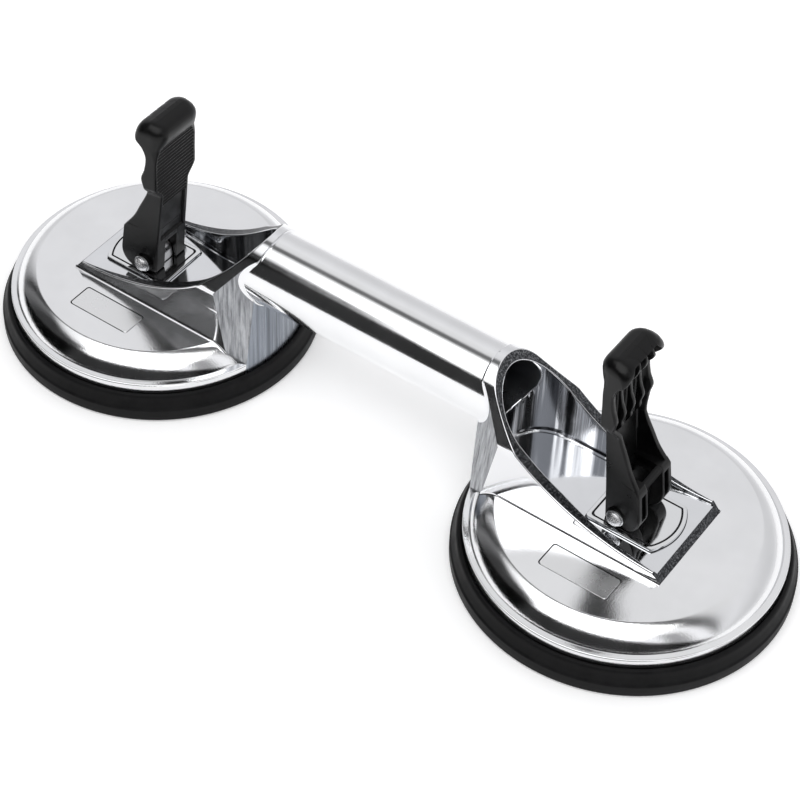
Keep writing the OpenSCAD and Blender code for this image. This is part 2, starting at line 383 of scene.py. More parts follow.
# -------- materials
def new_material(name, color, rough, metal=0.0):
    m = bpy.data.materials.new(name)
    m.use_nodes = True
    s = m.node_tree.nodes["Principled BSDF"]
    s.inputs["Base Color"].default_value = (*color, 1)
    s.inputs["Roughness"].default_value = rough
    s.inputs["Metallic"].default_value = metal
    return m, m.node_tree, s


def feed(tree, place, value):
    """Give an input a number or a vector, or link the output of another node to it."""
    if isinstance(value, bpy.types.NodeSocket):
        tree.links.new(value, place)
    else:
        place.default_value = value


def new_node(tree, kind, **values):
    """A shader node with its inputs fed. An underscore in a keyword stands for a space."""
    made = tree.nodes.new("ShaderNode" + kind)
    for key, value in values.items():
        feed(tree, made.inputs[key.replace("_", " ")], value)
    return made


def noise(tree, scale, detail, rough=0.55, stretch=(1, 1, 1)):
    """Noise in the object's own space, the space first scaled by stretch."""
    coord = new_node(tree, "TexCoord")
    mapping = new_node(tree, "Mapping", Vector=coord.outputs["Object"], Scale=stretch)
    return new_node(tree, "TexNoise", Vector=mapping.outputs["Vector"], Scale=scale, Detail=detail,
                    Roughness=rough).outputs["Fac"]


def spread(tree, value, low, high, from_low=0.3, from_high=0.7):
    return new_node(tree, "MapRange", Value=value, From_Min=from_low, From_Max=from_high, To_Min=low,
                    To_Max=high).outputs["Result"]


def ramp(tree, value, stops):
    """Colour ramp from (place 0 to 1, colour) stops."""
    made = new_node(tree, "ValToRGB", Fac=value)
    elements = made.color_ramp.elements
    for where, _ in stops[1:-1]:
        elements.new(where)
    for element, (where, color) in zip(elements, stops):
        element.position = where
        element.color = (*color, 1)
    return made.outputs["Color"]


def math_node(tree, operation, *values):
    made = new_node(tree, "Math")
    made.operation = operation
    for place, value in zip(made.inputs, values):
        feed(tree, place, value)
    return made.outputs["Value"]


def bump(tree, height, shader, strength, distance):
    made = new_node(tree, "Bump", Height=height, Strength=strength, Distance=distance)
    tree.links.new(made.outputs["Normal"], shader.inputs["Normal"])


def coat(tree, shader, value, dark, light, rough, low=0.3, high=0.7):
    """Colour from dark to light and roughness over the pair rough, both led by value."""
    tree.links.new(ramp(tree, value, [(low, dark), (high, light)]), shader.inputs["Base Color"])
    tree.links.new(spread(tree, value, *rough), shader.inputs["Roughness"])


def polished_metal(name, color, rough, wave=0.05, grain=(400, 400, 400), grain_depth=0.02):
    """Metal with cloudy polish, faint waviness and fine grain."""
    m, tree, s = new_material(name, color, rough, 1.0)
    clouds = noise(tree, 60, 5)
    fine = noise(tree, 6, 3, stretch=grain)
    coat(tree, s, clouds, [c * 0.93 for c in color], color, (rough * 0.7, rough * 1.35))
    waves = noise(tree, 25, 1)
    bump(tree, math_node(tree, "MULTIPLY_ADD", fine, grain_depth, waves), s, wave, 0.0006)
    return m


def milled_wall(name, dark, light, rough, streaks, low, high):
    """Polished metal with upright streaks of lighter and darker tone, as a cutter's side leaves them."""
    m, tree, s = new_material(name, light, rough, 1.0)
    bands = noise(tree, 1, 4, 0.6, (streaks, streaks, streaks * 0.02))
    coat(tree, s, bands, dark, light, (rough * 1.3, rough * 0.8), low, high)
    bump(tree, noise(tree, 1, 3, stretch=(1500, 1500, 30)), s, 0.12, 0.0002)
    return m


def machined_face_and_painted_shade(name, dark, light, rough, depth):
    """Rough, darker face left by a cutter, with bright grains. Also serves as painted shade in thin gaps and
    grooves.
    """
    m, tree, s = new_material(name, dark, rough, 1.0)
    specks = noise(tree, 1500, 5, 0.8)
    coat(tree, s, specks, dark, light, (rough * 0.8, rough * 1.2), 0.48, 0.74)
    bump(tree, specks, s, depth, 0.00015)
    return m


def rubber_material():
    m, tree, s = new_material("rubber", (0.006, 0.006, 0.0065), 0.5)
    s.inputs["Specular IOR Level"].default_value = 0.13
    dust = noise(tree, 140, 6, 0.65)
    coat(tree, s, dust, (0.003, 0.003, 0.0033), (0.010, 0.010, 0.0105), (0.42, 0.62))
    bump(tree, noise(tree, 1500, 3), s, 0.15, 0.0001)
    return m


def lever_material():
    m, tree, s = new_material("lever_plastic", (0.002, 0.002, 0.0022), 0.3)
    s.inputs["Specular IOR Level"].default_value = 0.26
    mottle = noise(tree, 160, 4)
    coat(tree, s, mottle, (0.0012, 0.0012, 0.0013), (0.0036, 0.0036, 0.0038), (0.27, 0.42))
    bump(tree, noise(tree, 2200, 3), s, 0.12, 0.00008)
    return m


MATS = {
    "cast": polished_metal("cast_aluminium", (0.88, 0.885, 0.90), 0.10, 0.10),
    "disc": polished_metal("disc_aluminium", (0.87, 0.875, 0.885), 0.12, 0.16, (330, 330, 330), 0.22),
    "bay": polished_metal("bay_aluminium", (0.78, 0.79, 0.81), 0.08, 0.16),
    # the back wall's dark colour is painted shade and painted reflection: it stands in for the shadow under
    # the tube and the dark parts it mirrors; the upright streaks are the cutter's
    "wall": milled_wall("back_wall_painted_shade_aluminium", (0.14, 0.155, 0.18), (0.38, 0.41, 0.46),
                        0.28, 700, 0.28, 0.72),
    "facet": milled_wall("facet_aluminium", (0.14, 0.145, 0.155), (0.46, 0.47, 0.49),
                         0.24, 900, 0.30, 0.68),
    "bay_wall": milled_wall("bay_wall_aluminium", (0.10, 0.105, 0.115), (0.84, 0.85, 0.87),
                            0.11, 190, 0.42, 0.60),
    "rim": machined_face_and_painted_shade("rim_machined", (0.028, 0.029, 0.032), (0.42, 0.43, 0.45), 0.38, 0.9),
    # painted shade: dark metal that stands in for the shadow in thin gaps and grooves
    "painted_gap_shade": machined_face_and_painted_shade("shadow_gap", (0.02, 0.02, 0.022), (0.12, 0.12, 0.125), 0.6, 0.2),
    "tube": polished_metal("tube_aluminium", (0.90, 0.905, 0.915), 0.10, 0.04, (40, 900, 900), 0.16),
    # painted shade: the tube's inside is a darker copy of the tube's aluminium, standing in for the shade
    # inside the bore
    "bore": polished_metal("bore_aluminium_painted_shade", (0.34, 0.35, 0.37), 0.28, 0.05, (40, 900, 900), 0.10),
    "plate": polished_metal("seat_plate_steel", (0.80, 0.81, 0.82), 0.07, 0.03),
    "label": polished_metal("label_metal", (0.84, 0.845, 0.85), 0.22, 0.03),
    "steel": polished_metal("machined_steel", (0.60, 0.60, 0.61), 0.25, 0.04, (300, 300, 1200), 0.10),
    "zinc": polished_metal("zinc_steel", (0.62, 0.63, 0.64), 0.32, 0.05),
    "pin": polished_metal("pin_steel", (0.72, 0.72, 0.73), 0.16, 0.30, (900, 900, 900), 0.9),
    "rubber": rubber_material(),
    "lever": lever_material(),
}

# A casting's patches are marked by their place in this list
CASTING_MATS = ("cast", "rim", "bay", "wall", "disc", "painted_gap_shade", "facet", "bay_wall")


# -------- hood geometry
def rim_z(x):
    return CUT_Z - math.sqrt(CUT_R ** 2 - (x - CUT_X) ** 2)


def rim_x(z):
    return CUT_X - math.sqrt(max(CUT_R ** 2 - (z - CUT_Z) ** 2, 0))


def rim_normal(p):
    """Normal of the long cut through the hood, pointing out of the metal."""
    return Vector((CUT_X - p[0], 0, CUT_Z - p[2])).normalized()


def wall_x(y):
    return -math.sqrt(RIM_R ** 2 - y ** 2)


def facet_normal():
    return Vector((-math.sin(FACET_TURN) * math.cos(FACET_LEAN),
                   math.cos(FACET_TURN) * math.cos(FACET_LEAN), math.sin(FACET_LEAN)))


def facet_x(y, z):
    n = facet_normal()
    return FACET_AT.x - (n.y * (y - FACET_AT.y) + n.z * (z - FACET_AT.z)) / n.x


def flank_touch():
    """Where the straight flank runs on to the collar's circle."""
    d = Vector((HOOD_HW, FLANK_Z - TUBE_Z))
    turn = math.atan2(d.y, d.x) + math.acos(COLLAR_R / d.length)
    return COLLAR_R * math.cos(turn), TUBE_Z + COLLAR_R * math.sin(turn)


def half_width(z):
    """Outer half width of the hood at height z."""
    touch = flank_touch()
    if z <= FLANK_Z:
        return HOOD_HW
    if z <= touch[1]:
        return HOOD_HW + (touch[0] - HOOD_HW) * (z - FLANK_Z) / (touch[1] - FLANK_Z)
    return math.sqrt(max(COLLAR_R ** 2 - (z - TUBE_Z) ** 2, 0))


def facet_edge_y(z):
    """Where the slanted corner meets the round back wall at height z."""
    return bisect(4.0, HOOD_HW, lambda y: facet_x(y, z) < wall_x(y))


def end_x(z):
    """Front end of the platform, a slope below the hood's floor."""
    return END_X + END_RUN * (FLOOR_Z - z) / (FLOOR_Z - TOP_Z)


def section_stations():
    """Half of the hood's outline seen along the tube, from its foot up to the top: (y, z, outward normal)."""
    touch = flank_touch()
    found = [(HOOD_HW, z, (0, 1, 0)) for z in (LEDGE_Z, TOP_Z, 24.5)]
    found += [(HOOD_HW, rim_z(x), (0, 1, 0)) for x in spaced(RIM_START_X, rim_x(FLANK_Z), 46)]
    slope = Vector((0, touch[1] - FLANK_Z, HOOD_HW - touch[0])).normalized()
    found += [(half_width(z), z, tuple(slope)) for z in spaced(FLANK_Z, touch[1], 13)[1:]]
    a0 = math.degrees(math.atan2(touch[1] - TUBE_Z, touch[0]))
    for y, z in arc((0, 0), 1.0, a0, 90, 24)[1:]:
        found.append((COLLAR_R * y, TUBE_Z + COLLAR_R * z, (0, y, z)))
    return found


def inner_rim_line(outer):
    """Inner edge of the rim, paired with the outer edge: along the bay's wall and round its back."""
    straight = [p for p in outer if p[0] > BAY_X]
    found = [Vector((p[0], bay_side(p[0]), rim_z(p[0]))) for p in straight]
    tour = [Vector((x, y, rim_z(x))) for x, y in arc((BAY_X, 0), BAY_HW, 90, 180, 60)]
    rest = along([found[-1]] + tour, len(outer) - len(straight) + 1)[1:]
    for p in rest:
        p.z = rim_z(p.x)
    rest[-1].y = 0.0
    return found + rest


def bay_side(x):
    """Half width of the bay between its sides, which open out towards the platform's end."""
    return BAY_HW + (BAY_END_HW - BAY_HW) * max(x - BAY_BEND, 0) / (END_X + 4 - BAY_BEND)


def bay_normal(p):
    """Direction from the bay's wall into its space."""
    if p[0] > BAY_X:
        lean = (BAY_END_HW - BAY_HW) / (END_X + 4 - BAY_BEND) if p[0] > BAY_BEND else 0
        return Vector((lean, -1, 0)).normalized()
    return Vector((BAY_X - p[0], -p[1], 0)).normalized()


def hood_outside(shell, flip):
    """Outer shell, rounded rim edges, rim band and slanted corner of one half. flip is 1 or -1 in y.
    Returns the line along the top of the bay's wall."""
    edge_r, inner_r = 0.55, 0.45
    outer_rows, outer_edge = [], []
    for y, z, n in section_stations():
        back = max(wall_x(y), facet_x(y, z)) if z > LEDGE_Z else facet_x(y, z)
        if z < rim_z(RIM_START_X):
            front = Vector((end_x(max(z, TOP_Z)), y, z))
        else:
            corner = Vector((rim_x(z), y, z))
            turn = fillet(corner, n, rim_normal(corner), edge_r)
            outer_edge.append((corner, turn))
            front = turn[0]
        row = between((back, y, z), front, 4)
        if z < TOP_Z:
            # the foot stays inside the disc's shell
            row = [Vector((p.x, p.y, max(p.z, surface_z(p.x, p.y) - 1.0))) for p in row]
        outer_rows.append(row)
    outer_turn = [turn for _, turn in outer_edge]
    inner = inner_rim_line([corner for corner, _ in outer_edge])
    inner_turn = [fillet(p, rim_normal(p), bay_normal(p), inner_r) for p in inner]
    shell.patch(flipped(outer_rows, flip), lambda p: (0, p[1], max(p[2] - TUBE_Z, 0)), 0)
    shell.patch(flipped(outer_turn, flip), lambda p: rim_normal(p) + Vector((0, 0.3 * flip, 0)), 0)
    band = []
    for turn, bend in zip(outer_turn, inner_turn):
        row = between(turn[-1], bend[0], 4)
        for p in row[1:-1]:
            p.z = rim_z(p.x)
        band.append(row)
    shell.patch(flipped(band, flip), rim_normal, 1)
    shell.patch(flipped(inner_turn, flip), rim_normal, 2)
    hood_corner(shell, flip)
    return [bend[-1] for bend in inner_turn]


def hood_corner(shell, flip):
    """The slanted facet at the back corner, and the collar's end above it."""
    heights = [z / 10 for z in range(560, 660)]
    top = next(z for z in heights if facet_x(half_width(z), z) <= wall_x(half_width(z)))
    rows = []
    for z in spaced(LEDGE_Z - 0.1, top, 60):
        inner_y = facet_edge_y(z)
        in_tube = (TUBE_R - 0.7) ** 2 - (z - TUBE_Z) ** 2
        if in_tube > 0:
            inner_y = max(inner_y, math.sqrt(in_tube))
        outer_y = half_width(z)
        inner_y = min(inner_y, outer_y)
        rows.append([(facet_x(y, z), y, z) for y in spaced(outer_y, inner_y, 3)])
    n = facet_normal()
    shell.patch(flipped(rows, flip), lambda p: (n.x, n.y * flip, n.z), 6)
    a0 = math.degrees(math.asin((top - TUBE_Z) / COLLAR_R))
    ring = []
    for y, z in arc((0, TUBE_Z), 1.0, a0, 90, 20):
        ring.append([(wall_x(r * y), r * y, TUBE_Z + r * (z - TUBE_Z)) for r in (TUBE_HOLE_R, COLLAR_R)])
    shell.patch(flipped(ring, flip), lambda p: (-1, 0, 0), 0)


def back_wall(shell, flip):
    """Round back wall between its foot and the tube, one half."""
    # height where the facet's edge meets the tube
    join_z = bisect(37.0, TUBE_Z, lambda z: math.hypot(facet_edge_y(z), z - TUBE_Z) > TUBE_HOLE_R)
    foot = 9.0
    edge = [(facet_edge_y(z) + 0.01, z) for z in spaced(join_z, foot, 24)]
    line = edge + [(edge[-1][0] * (1 - i / 16), foot) for i in range(1, 17)]
    a0 = math.degrees(math.atan2(join_z - TUBE_Z, facet_edge_y(join_z)))
    rows = []
    for (y0, z0), (y1, z1) in zip(arc((0, TUBE_Z), TUBE_HOLE_R, a0, -90, 40), line):
        points = zip(spaced(y0, y1, 8), spaced(z0, z1, 8))
        rows.append([(wall_x(y) - 0.03, y, z) for y, z in points])
    shell.patch(flipped(rows, flip), lambda p: (-1, 0, 0), 3)


def bay_back(y):
    """x of the bay's round back at y."""
    return BAY_X - math.sqrt(max(BAY_HW ** 2 - y ** 2, 0))


def bay_inside(shell, flip, straight_edge):
    """Wall of the hood's inside with a hollow corner to its floor, and the bore's mouth in it, one half.
    Returns the floor's outline."""
    def out(p):
        n = bay_normal((p[0], abs(p[1]), p[2]))
        return Vector((n.x, n.y * flip, 0))

    tops = [(p.x, bay_side(p.x), p.z) for p in straight_edge if p.x > BAY_X]
    turns = [BAY_HW * math.cos(math.radians(a)) for a in range(0, 90, 3)]
    side = sorted([y for y in turns if y > MOUTH_R] + [MOUTH_R], reverse=True)
    tops += [(bay_back(y), y, rim_z(bay_back(y)) - 0.3) for y in side]
    under = [MOUTH_R * math.cos(math.radians(a)) for a in range(2, 91, 4)] + [0.0]
    tops += [(bay_back(y), y, TUBE_Z - math.sqrt(MOUTH_R ** 2 - y ** 2)) for y in under]
    rows = []
    for x, y, z in tops:
        n = bay_normal((x, y, z))
        r = min(1.6, (z - FLOOR_Z) * 0.85)
        base = Vector((x, y, FLOOR_Z))
        row = [Vector((x, y, up)) for up in reversed(spaced(FLOOR_Z + r, z, 8))]
        for k in range(1, 7):
            a = math.radians(15 * k)
            row.append(base + n * (r * (1 - math.cos(a))) + Vector((0, 0, r * (1 - math.sin(a)))))
        rows.append(row)
    rows = flipped(rows, flip)
    # the wall's foot runs on under the mouth, so the two parts are drawn apart
    first = len(tops) - len(under)
    shell.patch(rows[:first], out, 7)
    shell.patch([rows[first - 1][8:]] + [row[8:] for row in rows[first:]], out, 7)
    lower, upper = [], []
    for i, y in enumerate([MOUTH_R] + under):
        x, top = bay_back(y), rim_z(bay_back(y)) - 0.3
        reach = math.sqrt(max(MOUTH_R ** 2 - y ** 2, 0))
        ends = (x, y, TUBE_Z - reach), (x, y, rows[first - 1 + i][8].z)
        lower.append(between(*ends, 6))
        start = min(TUBE_Z + reach, top)
        upper.append([(x, y, z) for z in spaced(start, top, 3)])
    shell.patch(flipped(lower, flip), out, 7)
    shell.patch(flipped(upper, flip), out, 7)
    ring = []
    for y, z in arc((0, 0), 1.0, 90, -90, 60):
        high = rim_z(bay_back(BORE_R * y)) - TUBE_Z
        ring.append([(bay_back(r * y) - back, r * y, TUBE_Z + min(r * z, high))
                     for r, back in ((MOUTH_R, 0.0), (BORE_R + 0.09, 0.09), (BORE_R, 0.3))])
    shell.patch(flipped(ring, flip), lambda p: (1, 0, 0), 0)
    return [row[-1] for row in rows]


def shoulder_line():
    """(radius, z) points of the disc's round shoulder, from the ledge up to the flat top."""
    return chord_arc((LEDGE_R, LEDGE_Z + 0.15), (CREASE_R, TOP_Z), 13, 20)


def surface_z(x, y):
    """Height of the disc's upper surface at (x, y)."""
    r = math.hypot(x, y)
    if r <= CREASE_R:
        return TOP_Z
    line = shoulder_line()
    for (r0, z0), (r1, z1) in zip(line, line[1:]):
        if r >= r1:
            return z0 + (z1 - z0) * clamp((r - r0) / (r1 - r0))
    return TOP_Z


def hood_foot(shell, flip, width=0.9):
    """Small hollow corner where the hood's flank stands on the disc."""
    back, front = -47.0, END_X + END_RUN - 0.1
    rows = []
    for x in spaced(back, front, 60):
        a = Vector((x, HOOD_HW, surface_z(x, HOOD_HW) + width))
        b = Vector((x, HOOD_HW, surface_z(x, HOOD_HW)))
        c = Vector((x, HOOD_HW + width, surface_z(x, HOOD_HW + width)))
        rows.append([a * (1 - t) ** 2 + b * 2 * t * (1 - t) + c * t * t for t in (k / 6 for k in range(7))])
    shell.patch(flipped(rows, flip), lambda p: (0, flip, 1), 0)


def collar_bead(shell):
    """Small hollow corner between the hood's back and the tube."""
    rows = []
    for reach, lift in ((0.75, 0.0), (0.35, 0.08), (0.08, 0.35), (0.0, 0.75)):
        ring = [(y, TUBE_Z + up) for y, up in circle(TUBE_R + reach, 96)]
        rows.append([(max(wall_x(y), facet_x(abs(y), z)) - 0.04 - lift, y, z) for y, z in ring])
    shell.patch(rows, lambda p: (-1, p[1] * 0.02, (p[2] - TUBE_Z) * 0.02), 0, closed=True)


def slot_line(z):
    """Outline at height z of the passage that the pull stem slides in."""
    hx, hy = SLOT_HALF
    return [(-hx, -hy, z), (hx, -hy, z), (hx, hy, z), (-hx, hy, z)]


def slot_walls(shell, top, foot, mark):
    shell.patch([slot_line(top), slot_line(foot)], lambda p: (-p[0], -p[1], 0), mark, closed=True)


def disc(s):
    """Skirt, rim, ledge, shoulder and flat top with the name plate's recess, and the hollow below."""
    profile = [(RIM_R - SHELL_T, SEAT_GROOVE_Z), (RIM_R, SEAT_GROOVE_Z), (RIM_R, LEDGE_Z - 0.75)]
    profile += [(RIM_R - 0.12, LEDGE_Z - 0.62), (RIM_R - 0.12, LEDGE_Z - 0.52), (RIM_R, LEDGE_Z - 0.45)]
    profile += [(RIM_R - 0.08, LEDGE_Z - 0.12), (RIM_R - 0.35, LEDGE_Z)]
    profile += [(LEDGE_R + 0.5, LEDGE_Z), (LEDGE_R + 0.1, LEDGE_Z + 0.05)]
    profile += shoulder_line()[:-1] + [(CREASE_R + 0.12, TOP_Z - 0.03), (FLAT_R, TOP_Z)]
    revolve(s, profile, steps=256, mark=4)
    outside = [(x, y, TOP_Z) for x, y in circle(FLAT_R, 256)]
    cx, cy, w, h = LABEL
    recess = rounded_box_line(cx, cy, w, h, LABEL_CORNER, TOP_Z)
    holes = [list(reversed(line)) for line in (recess, slot_line(TOP_Z))]
    s.plate([outside] + holes, upward, 4)
    # the recess's walls and floor take the painted shade material: a painted shadow line round the name plate
    low = [(x, y, z - LABEL_DEPTH) for x, y, z in recess]
    s.patch([recess, low], lambda p: (cx - p[0], cy - p[1], 0), 5, closed=True)
    s.plate([low], upward, 5)
    inner_r, roof_z, pocket_r = RIM_R - SHELL_T, TOP_Z - SHELL_T, 13
    inside = [(inner_r, SEAT_GROOVE_Z), (inner_r, LEDGE_Z - 3), (inner_r - 2, LEDGE_Z),
              (CREASE_R - 1, roof_z), (pocket_r, roof_z), (pocket_r, POCKET_Z), (6.4, POCKET_Z)]
    revolve(s, inside, steps=96, mark=4, outward=False)


def hood(s):
    """Both halves of the hood, the platform that is its floor, and the platform's sloped front end."""
    lines = []
    for flip in (1, -1):
        inner = hood_outside(s, flip)
        back_wall(s, flip)
        lines.append(bay_inside(s, flip, inner))
        hood_foot(s, flip)
    collar_bead(s)
    left_line, right_line = lines
    front_y = left_line[0].y
    near, far = Vector((END_X, front_y, FLOOR_Z)), Vector((END_X, -front_y, FLOOR_Z))
    floor = [near] + left_line + list(reversed(right_line[:-1])) + [far]
    s.plate([floor, slot_line(FLOOR_Z)], upward, 2)
    slot_walls(s, FLOOR_Z, POCKET_Z, 2)
    z_top = rim_z(RIM_START_X)
    half = [(end_x(TOP_Z), HOOD_HW, TOP_Z), (end_x(z_top), HOOD_HW, z_top),
            (end_x(z_top), bay_side(END_X), z_top), (END_X, front_y, FLOOR_Z)]
    s.plate([half + [(x, -y, z) for x, y, z in reversed(half)]], lambda p: (1, 0, 1), 1)


def casting(name, side):
    s = Shell()
    disc(s)
    hood(s)
    obj = s.build(f"{name}_casting_shell", side, CASTING_MATS)
    attach(obj, "frame", f"{name}_casting")


# -------- tube
def handle_tube():
    """Tube whose ends stop just behind the round backs of the hoods' insides."""
    s = Shell()
    lines = {}
    for r, short in ((BORE_R, 0.3), (TUBE_R, 0.6)):
        ring = [(y, TUBE_Z + up) for y, up in circle(r, 160)]
        lines[r] = [(PITCH + min(bay_back(y), rim_x(z)) - short, y, z) for y, z in ring]
    for r, mark, way in ((BORE_R, 1, -1), (TUBE_R, 0, 1)):
        rows = [[(x * t, y, z) for x, y, z in lines[r]] for t in (-1, -0.85, -0.5, 0, 0.5, 0.85, 1)]
        s.patch(rows, lambda p, way=way: (0, way * p[1], way * (p[2] - TUBE_Z)), mark, closed=True)
    for t in (-1, 1):
        s.patch([[(x * t, y, z) for x, y, z in lines[r]] for r in (BORE_R, TUBE_R)],
                lambda p, t=t: (t, 0, 0), 0, closed=True)
    obj = s.build("handle_tube_body", 0, ["tube", "bore"])
    attach(obj, "frame", "handle_tube")


# -------- small frame pieces
def seat_plate(name, side):
    """Polished plate under the cam, with a pressed line round its edge. The pressed line and a thin ring on
    the floor round the plate are painted shade.
    """
    s = Shell()
    r, hw, back = 19.45, 11.95, -10.45
    press_z = SEAT_Z - 0.16
    base_z = FLOOR_Z + 0.03

    def outline(inset, z):
        rr, h, b = r - inset, hw - inset, back + inset
        a = math.degrees(math.asin(h / rr))
        mid = b + rr * 0.3
        front = rounded([(mid, -h)] + arc((0, 0), rr, -a, a, 40) + [(mid, h)], 1.2, 4)
        rear = rounded([(mid, h), (b, h), (b, -h), (mid, -h)], 1.6, 5)
        return [(x, y, z) for x, y in front[:-1] + rear[:-1]]

    steps = [(-0.25, base_z), (0, base_z), (0, SEAT_Z - 0.3), (0.12, SEAT_Z - 0.08), (0.35, SEAT_Z),
             (1.3, SEAT_Z), (1.5, press_z), (1.8, press_z), (2.0, SEAT_Z)]
    rows = [outline(inset, z) for inset, z in steps]
    # painted shadow: the thin dark ring on the floor round the plate
    s.patch(rows[:2], upward, 1, closed=True)
    s.patch(rows[1:6], lambda p: (p[0] * 0.2, p[1] * 0.2, 1), 0, closed=True)
    # painted shade in the pressed line round the plate
    s.patch(rows[5:], upward, 1, closed=True)
    s.plate([rows[-1], slot_line(SEAT_Z)], upward, 0)
    slot_walls(s, SEAT_Z, FLOOR_Z, 0)
    obj = s.build(f"{name}_seat_plate_body", side, ["plate", "painted_gap_shade"])
    attach(obj, "frame", f"{name}_seat_plate")


def label_plate(name, side):
    s = Shell()
    cx, cy, w, h = LABEL
    rows = []
    for inset, drop in ((0.32, LABEL_DEPTH), (0.32, 0.16), (0.45, 0.04), (0.65, 0.04)):
        rows.append(rounded_box_line(cx, cy, w - 2 * inset, h - 2 * inset, LABEL_CORNER - inset * 0.5,
                                     TOP_Z - drop))
    s.patch(rows, lambda p: (p[0] - cx, p[1] - cy, 1), 0, closed=True)
    s.plate([rows[-1]], upward, 0)
    obj = s.build(f"{name}_label_plate_body", side, ["label"])
    attach(obj, "frame", f"{name}_label_plate")


def rubber_pad(name, side):
    """Pad with side band, sloped shoulder, lip round the rim, and its ring and dish below."""
    s = Shell()
    outer = [(50.0, 0.0), (PAD_R - 0.9, 0.0), (PAD_R, 0.9), (PAD_R, 5.4), (PAD_R - 0.6, 6.0), (58.4, 8.6),
             (57.9, 10.3), (57.3, LIP_Z), (56.5, LIP_Z), (56.1, LIP_Z - 0.5), (56.1, 9.0)]
    outer = rounded(outer, 0.5, 4)
    under = rounded([(0.0, PAD_DISH), (30.0, 1.95), (SHEET_R, 1.6), (48.5, 0.35), (50.0, 0.0)], 1.0, 3)
    inside = [(56.03, 7.02), (52.6, 7.02), (52.5, 9.0), (50.2, 9.0), (49.1, PAD_BACK_Z), (30.0, PAD_BACK_Z),
              (12.0, PAD_BACK_Z), (AXIS_R, PAD_BACK_Z)]
    profile = [(AXIS_R, PAD_DISH)] + under[1:-1] + outer + inside
    revolve(s, profile, steps=192)
    obj = s.build(f"{name}_rubber_pad_body", side, ["rubber"], sharp=50)
    obj.modifiers.clear()
    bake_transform(obj)
    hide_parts(f"{name}_rubber_pad")


# -------- lever
CAM_LOW = PIN_Z - SEAT_Z - 0.2
CAM_LIFT = 6.0
SWING = math.radians(98)
CAM_RATE = CAM_LIFT / SWING


def cam_point(a):
    """Point of the cam that bears on the seat when the lever has swung by a radians."""
    d = CAM_LOW + CAM_RATE * a
    return d * math.sin(a) + CAM_RATE * math.cos(a), PIN_Z - d * math.cos(a) + CAM_RATE * math.sin(a)


def on_curve(points, z):
    """x at height z on a smooth line through (x, z) points in rising order of z."""
    k = 0
    while k < len(points) - 2 and points[k + 1][1] < z:
        k += 1
    p = [points[max(k - 1, 0)], points[k], points[k + 1], points[min(k + 2, len(points) - 1)]]
    h = p[2][1] - p[1][1]
    t = clamp((z - p[1][1]) / h)
    m1 = (p[2][0] - p[0][0]) / max(p[2][1] - p[0][1], 1e-6) * h
    m2 = (p[3][0] - p[1][0]) / max(p[3][1] - p[1][1], 1e-6) * h
    return ((2 * t ** 3 - 3 * t ** 2 + 1) * p[1][0] + (t ** 3 - 2 * t ** 2 + t) * m1
            + (-2 * t ** 3 + 3 * t ** 2) * p[2][0] + (t ** 3 - t ** 2) * m2)


def lever_front(z):
    """Outward edge of the lever seen from the side: cam, flat face, grip and head."""
    cam = [cam_point(a) for a in spaced(0, SWING, 12)]
    cam_x, cam_z = cam[-1]
    if z < cam_z:
        for (x0, z0), (x1, z1) in zip(cam, cam[1:]):
            if z <= z1:
                return x0 + (x1 - x0) * max(z - z0, 0) / max(z1 - z0, 1e-6)
    # flat face that lies on the seat when the lever is down
    if z < FACE_TOP:
        return cam_x + (z - cam_z) / math.tan(SWING)
    top = cam_x + (FACE_TOP - cam_z) / math.tan(SWING)
    return on_curve([(top, FACE_TOP), (3.4, 51.2), (0.6, 57), (-2.6, 64), (-4.3, 70), (-3.7, 74.5),
                     (-5.2, 79), (-6.0, 84.8), (-4.7, 88.9), (-2.4, 91.7), (-1.5, 94.4), (-1.9, 96.4),
                     (-3.5, 98.0), (-6.6, HEAD_Z)], z)


def lever_back(z):
    return on_curve([(-4.8, 26), (-6.4, 42), (-8.3, 58), (-9.6, 70), (-10.1, 80), (-11.0, 88),
                     (-12.5, 91.5), (-13.2, 94.2), (-12.9, 96.4), (-11.3, 98.2), (-8.2, HEAD_Z)], z)


def lever_width(x, z):
    """Half width of the lever: narrower towards the tube, wider at the grip, round at the top."""
    low = 6.6 + (11.2 - 6.6) * (x + 16) / 28
    high = 10.4 + (14.6 - 10.4) * (x + 16) / 28
    rise = clamp((z - 94.4) / (HEAD_Z - 94.4))
    return low + (high - low) * ease(z, GRIP_Z, 71.0) - 4.4 * (1 - math.sqrt(1 - rise ** 2))


def slab(shell, zs, back, front, low_y, high_y, radius):
    """A wall of the lever lofted up through the heights zs, with rounded edges.
    back, front give x at z; low_y, high_y give y at (x, z)."""
    rows = []
    ends = [(zs[0], radius)] + [(z, 0.0) for z in zs] + [(zs[-1], radius)]
    for index, (z, inset) in enumerate(ends):
        x0, x1 = back(z), front(z)
        if index == 1:
            z = min(z + radius, zs[1])
        if index == len(ends) - 2:
            z = max(z - radius, zs[-2])
        xm = (x0 + x1) / 2
        depth = high_y(xm, z) - low_y(xm, z)
        r = min(radius, (x1 - x0) * 0.45, depth * 0.45)
        i = min(inset, (x1 - x0) * 0.4, depth * 0.4) * 0.8
        row = []
        for sx, sd, a in ((1, 1, 0), (-1, 1, 90), (-1, -1, 180), (1, -1, 270)):
            cx = (x1 - r - i) if sx > 0 else (x0 + r + i)
            for px, pd in arc((cx, 0), r, a, a + 90, 3):
                lo, hi = low_y(px, z) + i, high_y(px, z) - i
                y = (hi - r + pd) if sd > 0 else (lo + r + pd)
                row.append((px, y, z))
        rows.append(row)
    start, width = len(shell.points), len(rows[0])
    shell.sleeve(rows)
    last = len(shell.points) - width
    shell.faces += [tuple(reversed(range(start, start + width))), tuple(range(last, last + width))]
    shell.marks += [0, 0]


